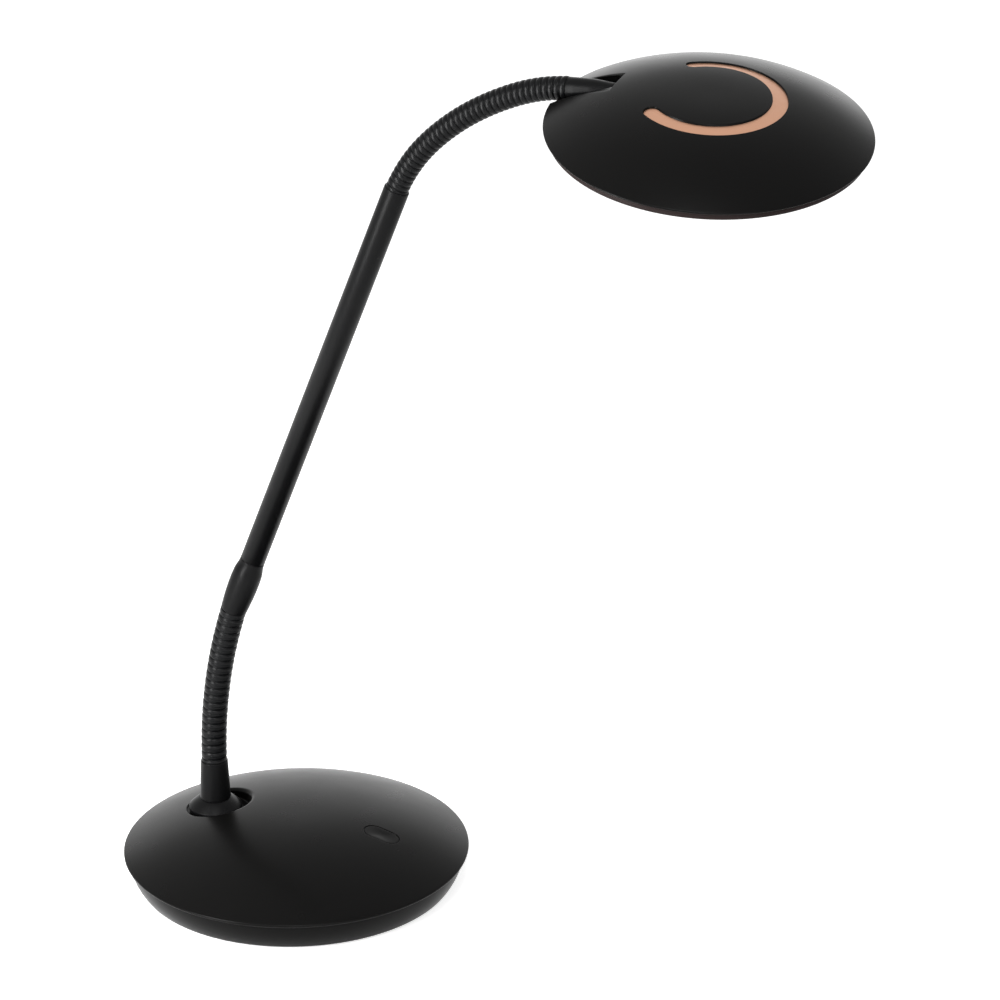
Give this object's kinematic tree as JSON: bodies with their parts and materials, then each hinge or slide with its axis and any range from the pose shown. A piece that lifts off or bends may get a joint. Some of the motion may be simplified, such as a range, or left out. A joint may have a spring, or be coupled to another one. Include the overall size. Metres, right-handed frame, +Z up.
{
  "type": "gooseneck desk lamp",
  "caption": "Weighted round base with a push switch and swivelling foot, a rigid arm between two flexible necks, and a round LED head that turns on its neck.",
  "frame": {"origin": "centre of the non-slip pad's underside, on the desk", "axes": "+X from the swivelling foot towards the head, +Z up, +Y to the left when looking along +X"},
  "size_m": [0.3851, 0.18, 0.4518],
  "materials": {
    "black_plastic": "satin, very fine grain",
    "pad_rubber": "matte",
    "ballast_iron": "raw, dull",
    "screw_steel": "zinc plated",
    "circuit_board": "green solder mask",
    "dark_plastic": "moulded",
    "lead_sheath": "smooth sheath",
    "washer_plastic": "moulded nylon",
    "black_metal": "satin black",
    "neck_black": "satin black, ribbed",
    "copper": "satin copper colour",
    "plate_aluminium": "plain",
    "led_yellow": "phosphor",
    "reflector_white": "matt white",
    "opal": "opal, frosted"
  },
  "bodies": {
    "base": {"base_cover": "black_plastic", "base_tray": "black_plastic", "non_slip_pad": "pad_rubber", "ballast_plate": "ballast_iron", "ballast_screws": "screw_steel", "tray_screws": "screw_steel", "control_board": "circuit_board", "board_screws": "screw_steel", "tact_switch_body": "dark_plastic", "dc_inlet": "dark_plastic", "supply_lead": "lead_sheath", "lamp_lead": "lead_sheath", "friction_washer": "washer_plastic"},
    "switch_button": {"power_button": "black_plastic", "switch_plunger": "washer_plastic"},
    "swivel_foot": {"swivel_hub": "black_metal", "tab_washer": "screw_steel", "swivel_nut": "screw_steel", "neck_boot": "black_metal", "lower_neck_fitting": "black_metal", "hub_lead": "lead_sheath"},
    "lower_link_1": {"lower_neck_link_1": "neck_black"},
    "lower_link_2": {"lower_neck_link_2": "neck_black"},
    "lower_link_3": {"lower_neck_link_3": "neck_black"},
    "lower_link_4": {"lower_neck_link_4": "neck_black"},
    "lower_link_5": {"lower_neck_link_5": "neck_black"},
    "lower_link_6": {"lower_neck_link_6": "neck_black"},
    "lower_link_7": {"lower_neck_link_7": "neck_black"},
    "lower_link_8": {"lower_neck_link_8": "neck_black"},
    "arm": {"coupling_sleeve": "black_metal", "arm_tube": "black_metal", "arm_lead": "lead_sheath", "upper_neck_fitting": "black_metal"},
    "upper_link_1": {"upper_neck_link_1": "neck_black"},
    "upper_link_2": {"upper_neck_link_2": "neck_black"},
    "upper_link_3": {"upper_neck_link_3": "neck_black"},
    "upper_link_4": {"upper_neck_link_4": "neck_black"},
    "upper_link_5": {"upper_neck_link_5": "neck_black"},
    "upper_link_6": {"upper_neck_link_6": "neck_black"},
    "upper_link_7": {"upper_neck_link_7": "neck_black"},
    "upper_link_8": {"upper_neck_link_8": "neck_black"},
    "upper_link_9": {"upper_neck_link_9": "neck_black"},
    "upper_link_10": {"upper_neck_link_10": "neck_black"},
    "upper_link_11": {"upper_neck_link_11": "neck_black"},
    "upper_link_12": {"upper_neck_link_12": "neck_black"},
    "neck_end": {"neck_end": "black_metal", "axle_washer": "screw_steel", "axle_nut": "screw_steel"},
    "head": {"head_cover": "black_plastic", "copper_inlay": "copper", "head_clamp": "screw_steel", "clamp_screws": "screw_steel", "heat_plate": "plate_aluminium", "led_board": "plate_aluminium", "leds": "led_yellow", "reflector": "reflector_white", "diffuser": "opal", "bezel_ring": "black_plastic", "head_screws": "screw_steel", "head_lead": "lead_sheath"}
  },
  "joints": [
    {"name": "base_swivel", "type": "hinge", "parent": "base", "child": "swivel_foot", "pos_m": [-0.047, 0, 0.0593], "axis": [0, 0, 1], "range_deg": [-165, 165]},
    {"name": "lower_bend_1", "type": "hinge", "parent": "swivel_foot", "child": "lower_link_1", "pos_m": [-0.047, 0, 0.0593], "axis": [0, 1, 0], "range_deg": [-10, 6.8]},
    {"name": "lower_sway_1", "type": "hinge", "parent": "lower_link_1", "child": "lower_link_2", "pos_m": [-0.04678, 0, 0.07023], "axis": [0.9992, 0, -0.0401], "range_deg": [-11.25, 11.25]},
    {"name": "lower_bend_2", "type": "hinge", "parent": "lower_link_2", "child": "lower_link_3", "pos_m": [-0.04612, 0, 0.08114], "axis": [0, 1, 0], "range_deg": [-10, 6.8]},
    {"name": "lower_sway_2", "type": "hinge", "parent": "lower_link_3", "child": "lower_link_4", "pos_m": [-0.04503, 0, 0.09201], "axis": [0.9928, 0, -0.1201], "range_deg": [-11.25, 11.25]},
    {"name": "lower_bend_3", "type": "hinge", "parent": "lower_link_4", "child": "lower_link_5", "pos_m": [-0.0435, 0, 0.10283], "axis": [0, 1, 0], "range_deg": [-10, 6.8]},
    {"name": "lower_sway_3", "type": "hinge", "parent": "lower_link_5", "child": "lower_link_6", "pos_m": [-0.04153, 0, 0.11359], "axis": [0.9799, 0, -0.1994], "range_deg": [-11.25, 11.25]},
    {"name": "lower_bend_4", "type": "hinge", "parent": "lower_link_6", "child": "lower_link_7", "pos_m": [-0.03914, 0, 0.12425], "axis": [0, 1, 0], "range_deg": [-10, 6.8]},
    {"name": "lower_sway_4", "type": "hinge", "parent": "lower_link_7", "child": "lower_link_8", "pos_m": [-0.03632, 0, 0.13481], "axis": [0.9608, 0, -0.2773], "range_deg": [-11.25, 11.25]},
    {"name": "lower_bend_5", "type": "hinge", "parent": "lower_link_8", "child": "arm", "pos_m": [-0.03308, 0, 0.14525], "axis": [0, 1, 0], "range_deg": [-10, 6.8]},
    {"name": "upper_bend_1", "type": "hinge", "parent": "arm", "child": "upper_link_1", "pos_m": [0.06244, 0, 0.38287], "axis": [-0.0061, 1, 0], "range_deg": [-8.5, 8]},
    {"name": "upper_sway_1", "type": "hinge", "parent": "upper_link_1", "child": "upper_link_2", "pos_m": [0.06674, 0.00005, 0.39085], "axis": [0.8539, 0.0156, -0.5203], "range_deg": [-8, 8]},
    {"name": "upper_bend_2", "type": "hinge", "parent": "upper_link_2", "child": "upper_link_3", "pos_m": [0.07186, 0.00018, 0.39832], "axis": [-0.0288, 0.9996, 0], "range_deg": [-8.5, 8]},
    {"name": "upper_sway_2", "type": "hinge", "parent": "upper_link_3", "child": "upper_link_4", "pos_m": [0.07778, 0.00037, 0.40517], "axis": [0.7213, 0.0264, -0.6921], "range_deg": [-8, 8]},
    {"name": "upper_bend_3", "type": "hinge", "parent": "upper_link_4", "child": "upper_link_5", "pos_m": [0.08437, 0.00064, 0.41138], "axis": [-0.0419, 0.9991, 0], "range_deg": [-8.5, 8]},
    {"name": "upper_sway_3", "type": "hinge", "parent": "upper_link_5", "child": "upper_link_6", "pos_m": [0.09143, 0.00095, 0.41706], "axis": [0.597, 0.0266, -0.8018], "range_deg": [-8, 8]},
    {"name": "upper_bend_4", "type": "hinge", "parent": "upper_link_6", "child": "upper_link_7", "pos_m": [0.09888, 0.00128, 0.4222], "axis": [-0.0445, 0.999, 0], "range_deg": [-8.5, 8]},
    {"name": "upper_sway_4", "type": "hinge", "parent": "upper_link_7", "child": "upper_link_8", "pos_m": [0.10671, 0.00163, 0.42675], "axis": [0.4722, 0.019, -0.8813], "range_deg": [-8, 8]},
    {"name": "upper_bend_5", "type": "hinge", "parent": "upper_link_8", "child": "upper_link_9", "pos_m": [0.11482, 0.00193, 0.43076], "axis": [-0.0323, 0.9995, 0], "range_deg": [-8.5, 8]},
    {"name": "upper_sway_5", "type": "hinge", "parent": "upper_link_9", "child": "upper_link_10", "pos_m": [0.12317, 0.00216, 0.43427], "axis": [0.3501, 0.0073, -0.9367], "range_deg": [-8, 8]},
    {"name": "upper_bend_6", "type": "hinge", "parent": "upper_link_10", "child": "upper_link_11", "pos_m": [0.13178, 0.00228, 0.4371], "axis": [-0.0052, 1, 0], "range_deg": [-8.5, 8]},
    {"name": "upper_sway_6", "type": "hinge", "parent": "upper_link_11", "child": "upper_link_12", "pos_m": [0.14063, 0.00225, 0.43903], "axis": [0.1625, -0.0021, -0.9867], "range_deg": [-8, 8]},
    {"name": "upper_bend_7", "type": "hinge", "parent": "upper_link_12", "child": "neck_end", "pos_m": [0.14963, 0.00204, 0.44004], "axis": [0.0332, 0.9995, 0], "range_deg": [-8.5, 8]},
    {"name": "head_roll", "type": "hinge", "parent": "neck_end", "child": "head", "pos_m": [0.1738, 0.00099, 0.4408], "axis": [0.9986, -0.0436, 0.0314], "range_deg": [-91, 69]},
    {"name": "switch_press", "type": "slide", "parent": "base", "child": "switch_button", "axis": [0, 0, -1], "range_m": [0, 0.0008], "stiffness_N_per_m": 1500, "springref_m": -0.0004}
  ],
  "couplings": [
    {"joint": "lower_bend_2", "follows": "lower_bend_1", "ratio": 1},
    {"joint": "lower_sway_2", "follows": "lower_sway_1", "ratio": 1},
    {"joint": "lower_bend_3", "follows": "lower_bend_1", "ratio": 1},
    {"joint": "lower_sway_3", "follows": "lower_sway_1", "ratio": 1},
    {"joint": "lower_bend_4", "follows": "lower_bend_1", "ratio": 1},
    {"joint": "lower_sway_4", "follows": "lower_sway_1", "ratio": 1},
    {"joint": "lower_bend_5", "follows": "lower_bend_1", "ratio": 1},
    {"joint": "upper_bend_2", "follows": "upper_bend_1", "ratio": 1},
    {"joint": "upper_sway_2", "follows": "upper_sway_1", "ratio": 1},
    {"joint": "upper_bend_3", "follows": "upper_bend_1", "ratio": 1},
    {"joint": "upper_sway_3", "follows": "upper_sway_1", "ratio": 1},
    {"joint": "upper_bend_4", "follows": "upper_bend_1", "ratio": 1},
    {"joint": "upper_sway_4", "follows": "upper_sway_1", "ratio": 1},
    {"joint": "upper_bend_5", "follows": "upper_bend_1", "ratio": 1},
    {"joint": "upper_sway_5", "follows": "upper_sway_1", "ratio": 1},
    {"joint": "upper_bend_6", "follows": "upper_bend_1", "ratio": 1},
    {"joint": "upper_sway_6", "follows": "upper_sway_1", "ratio": 1},
    {"joint": "upper_bend_7", "follows": "upper_bend_1", "ratio": 1}
  ]
}
